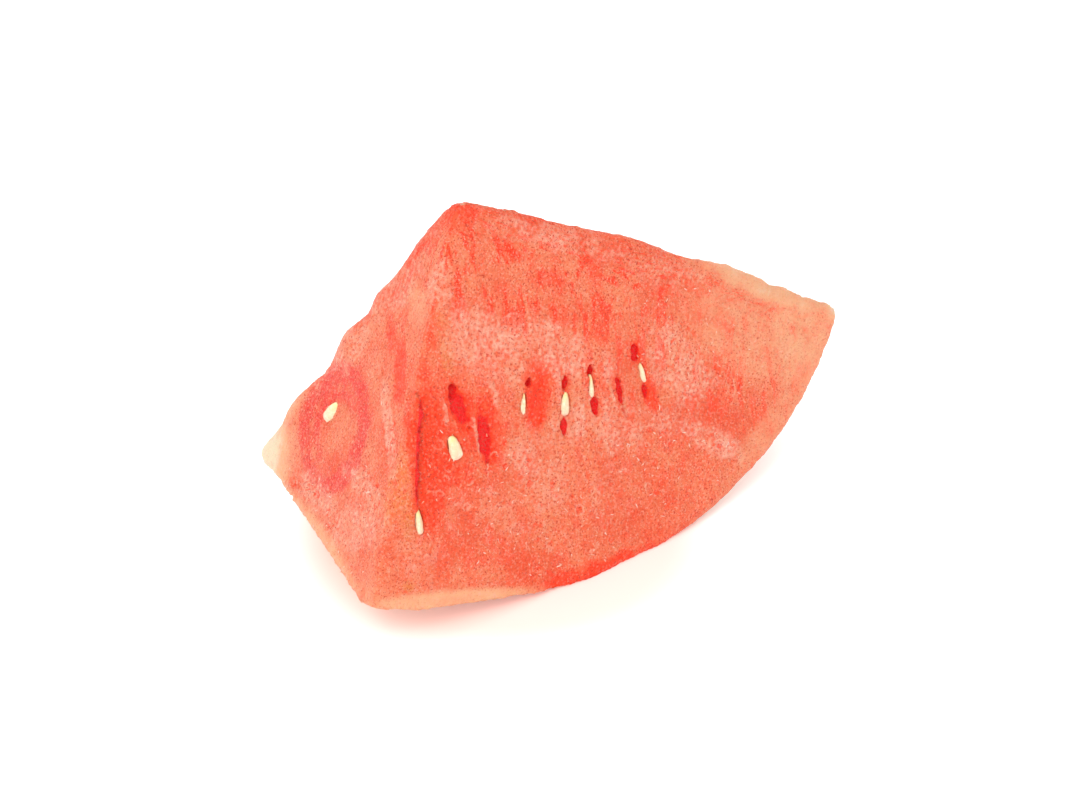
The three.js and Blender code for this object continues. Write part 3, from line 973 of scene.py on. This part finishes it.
def seed_material():
    material, tree, shader = new_material(
        "soft_seed",
        Subsurface_Weight=0.3,
        Subsurface_Radius=(1.0, 0.7, 0.4),
        Subsurface_Scale=0.8 * MM,
        IOR=1.4,
        Coat_Weight=0.35,
        Coat_Roughness=0.18,
    )
    cells, specks, _, crumbs, height = grain_at(tree, own_places(tree), 0.9)
    to_tip = sums(tree, "MULTIPLY_ADD", sums(tree, "SUBTRACT", crumbs, 0.5), 0.5, marked(tree, "to_tip"))
    colour = over(tree, SEED_CREAM, SEED_TIP_YELLOW, ramp(tree, to_tip, 0.0, 0.9))
    colour = over(tree, colour, SEED_FOOT_PINK, ramp(tree, to_tip, -0.3, -1.1))
    colour = over(tree, colour, SEED_CELL_WHITE, sums(tree, "MULTIPLY", cells, 0.35))
    colour = over(tree, colour, SEED_SPECK_BROWN, sums(tree, "MULTIPLY", specks, 0.25))
    tree.links.new(colour, shader.inputs["Base Color"])
    tree.links.new(sums(tree, "MULTIPLY_ADD", crumbs, 0.15, 0.25), shader.inputs["Roughness"])
    bump = add_node(tree, "ShaderNodeBump", {"Strength": 0.5, "Distance": 0.12 * MM, "Height": height})
    tree.links.new(bump.outputs[0], shader.inputs["Normal"])
    return material


seed_tree = soft_seed_tree()
seed_finish = seed_material()
WIDTH_MADE_UP = 1.05  # makes up for part of the width lost where the seed is drawn to its tip
for number, name in enumerate(seed_names):
    middle, axes, reach = seed_lies[name]
    width, length, thickness = (float(size) * 2 for size in reach * SOFT_SIZE)
    growth = {
        "Width": width * WIDTH_MADE_UP,
        "Length": length,
        "Thickness": thickness,
        "Tip draw": 0.45,
        "Wrinkle": 0.7,
        "Growth seed": float(number),
        "Material": seed_finish,
    }
    soft_mesh = grown(bpy.data.meshes.new(name), seed_tree, growth)
    turned = Matrix(axes.tolist()).transposed()
    if turned.determinant() < 0:
        turned = turned @ Matrix.Scale(-1, 3, Vector((0, 0, 1)))
    lying = turned.to_4x4()
    lying.translation = Vector(middle.tolist())
    soft_mesh.transform(lying)
    soft = put_smooth("soft_" + name, soft_mesh)
    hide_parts(name)
    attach(soft, "root")

# ======================================================================================================
# Flecks: crumbs and slivers of torn flesh, pale where their cells have opened. They cling to the cuts where
# the knife dragged, half sunk into the flesh.
# ======================================================================================================


def flecks_tree():
    tree, given, result = new_tree(
        "torn flecks",
        [
            ("Number per square metre", "Float"),
            ("Fleck length", "Float"),
            ("Scatter seed", "Int"),
            ("Material", "Material"),
        ],
    )
    unhollowed = sums(tree, "SUBTRACT", 1.0, stored(tree, "hollow"), clamp=True)
    clear = sums(tree, "MULTIPLY", unhollowed, stored(tree, "torn"))
    clear = sums(tree, "MULTIPLY", clear, ramp(tree, height_above_table(tree), 0.5 * MM, 1.5 * MM))
    scatter = add_node(
        tree,
        "GeometryNodeDistributePointsOnFaces",
        {
            "Mesh": given.outputs["Geometry"],
            "Density": sums(tree, "MULTIPLY", clear, given.outputs["Number per square metre"]),
            "Seed": given.outputs["Scatter seed"],
        },
    )
    crumb = add_node(tree, "GeometryNodeMeshUVSphere", {"Segments": 6, "Rings": 5, "Radius": 0.5}).outputs[0]
    size = add_node(
        tree,
        "FunctionNodeRandomValue",
        {0: (0.25, 0.10, 0.10), 1: (1.0, 0.20, 0.16), "Seed": given.outputs["Scatter seed"]},
        data_type="FLOAT_VECTOR",
    ).outputs[0]
    scaled = add_node(
        tree, "ShaderNodeVectorMath", {0: size, "Scale": given.outputs["Fleck length"]}, operation="SCALE"
    ).outputs[0]
    turn = add_node(
        tree,
        "FunctionNodeRandomValue",
        {0: (-0.5, -0.5, 0.0), 1: (0.5, 0.5, 6.28), "Seed": given.outputs["Scatter seed"]},
        data_type="FLOAT_VECTOR",
    ).outputs[0]
    rotated = add_node(
        tree, "FunctionNodeRotateRotation", {0: scatter.outputs["Rotation"], 1: turn}, rotation_space="LOCAL"
    ).outputs[0]
    placed = add_node(
        tree,
        "GeometryNodeInstanceOnPoints",
        {"Points": scatter.outputs["Points"], "Instance": crumb, "Rotation": rotated, "Scale": scaled},
    ).outputs[0]
    end_tree(tree, given, result, placed)
    return tree


FLECK_PINK = (0.86, 0.52, 0.42)


def fleck_material():
    material, tree, shader = new_material(
        "torn_flecks",
        Subsurface_Weight=0.5,
        Subsurface_Radius=(1.0, 0.45, 0.3),
        Subsurface_Scale=1.0 * MM,
        IOR=1.36,
        Coat_Weight=0.3,
        Coat_Roughness=0.2,
    )
    place = own_places(tree)
    _, specks, _, crumbs, _ = grain_at(tree, place, 1.2)
    colour = over(tree, SALMON, FLECK_PINK, ramp(tree, noise_of(tree, place, 0.6), 0.35, 0.65))
    colour = over(tree, colour, SPECK_RED, sums(tree, "MULTIPLY", specks, 0.3))
    tree.links.new(colour, shader.inputs["Base Color"])
    tree.links.new(sums(tree, "MULTIPLY_ADD", crumbs, 0.2, 0.3), shader.inputs["Roughness"])
    return material


flecks_mesh = grown(
    flesh_mesh,
    flecks_tree(),
    {
        "Number per square metre": 1.3e5,
        "Fleck length": 1.9 * MM,
        "Scatter seed": 7,
        "Material": fleck_material(),
    },
)
flecks = put_smooth("torn_flecks", flecks_mesh)
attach(flecks, "root")

# ======================================================================================================
# Table and light: a white table in a bright white room that gives off a little light of its own, with a
# painted pink glow round where the wedge lies, and one soft lamp above it. The camera looks down on the front
# cut.
# ======================================================================================================
bpy.ops.mesh.primitive_plane_add(size=8, location=(0, 0, 0))
table = bpy.context.object
table.name = "table"
table_finish, table_tree, table_shader = new_material(
    "lit_white_table", Roughness=0.6, Emission_Color=(1, 0.95, 0.97, 1), Emission_Strength=0.18
)
TABLE_WHITE = (0.92, 0.92, 0.92)
# The pink round the wedge is painted light: the glow that the red flesh casts and lets through onto the
# table, painted into the table's colour.
PAINTED_GLOW_PINK = (0.95, 0.62, 0.55)
GLOW_MIDDLE = (-14 * MM, -6 * MM, 0)
GLOW_REACH = (58 * MM, 46 * MM, 1.0)
on_table = add_node(table_tree, "ShaderNodeTexCoord").outputs["Object"]
from_glow = add_node(
    table_tree,
    "ShaderNodeMapping",
    {"Vector": on_table, "Location": GLOW_MIDDLE, "Scale": GLOW_REACH},
    vector_type="TEXTURE",
).outputs[0]
gap = add_node(table_tree, "ShaderNodeVectorMath", {0: from_glow}, operation="LENGTH").outputs["Value"]
table_colour = over(table_tree, TABLE_WHITE, PAINTED_GLOW_PINK, ramp(table_tree, gap, 1.15, 0.75))
table_tree.links.new(table_colour, table_shader.inputs["Base Color"])
table.data.materials.append(table_finish)

world = bpy.data.worlds.new("bright_room")
bpy.context.scene.world = world
world.use_nodes = True
background = world.node_tree.nodes["Background"]
background.inputs["Color"].default_value = (1, 1, 1, 1)
background.inputs["Strength"].default_value = 1.32
bpy.context.scene.view_settings.view_transform = "Standard"

LAMP_PLACE = Vector((-0.3, -0.82, 1.0))
soft_light = bpy.data.lights.new("key_lamp", "AREA")
soft_light.size = 0.5
soft_light.energy = 7
key_lamp = put("key_lamp", soft_light)
key_lamp.location = LAMP_PLACE
key_lamp.rotation_euler = (-LAMP_PLACE).to_track_quat("-Z", "Y").to_euler()

CAMERA_ELEVATION = math.radians(32.66)
CAMERA_DISTANCE = 556.7 * MM
camera = put("camera", bpy.data.cameras.new("camera"))
camera.data.lens = 70
camera.data.sensor_width = 36
camera.data.clip_start = 0.01
aim = (cad_low + cad_high) / 2 + Vector((-3.9, 0, -5.4)) * MM
back_off = Vector((0, -math.cos(CAMERA_ELEVATION), math.sin(CAMERA_ELEVATION)))
camera.location = aim + back_off * CAMERA_DISTANCE
camera.rotation_euler = (math.pi / 2 - CAMERA_ELEVATION, 0, 0)
bpy.context.scene.camera = camera
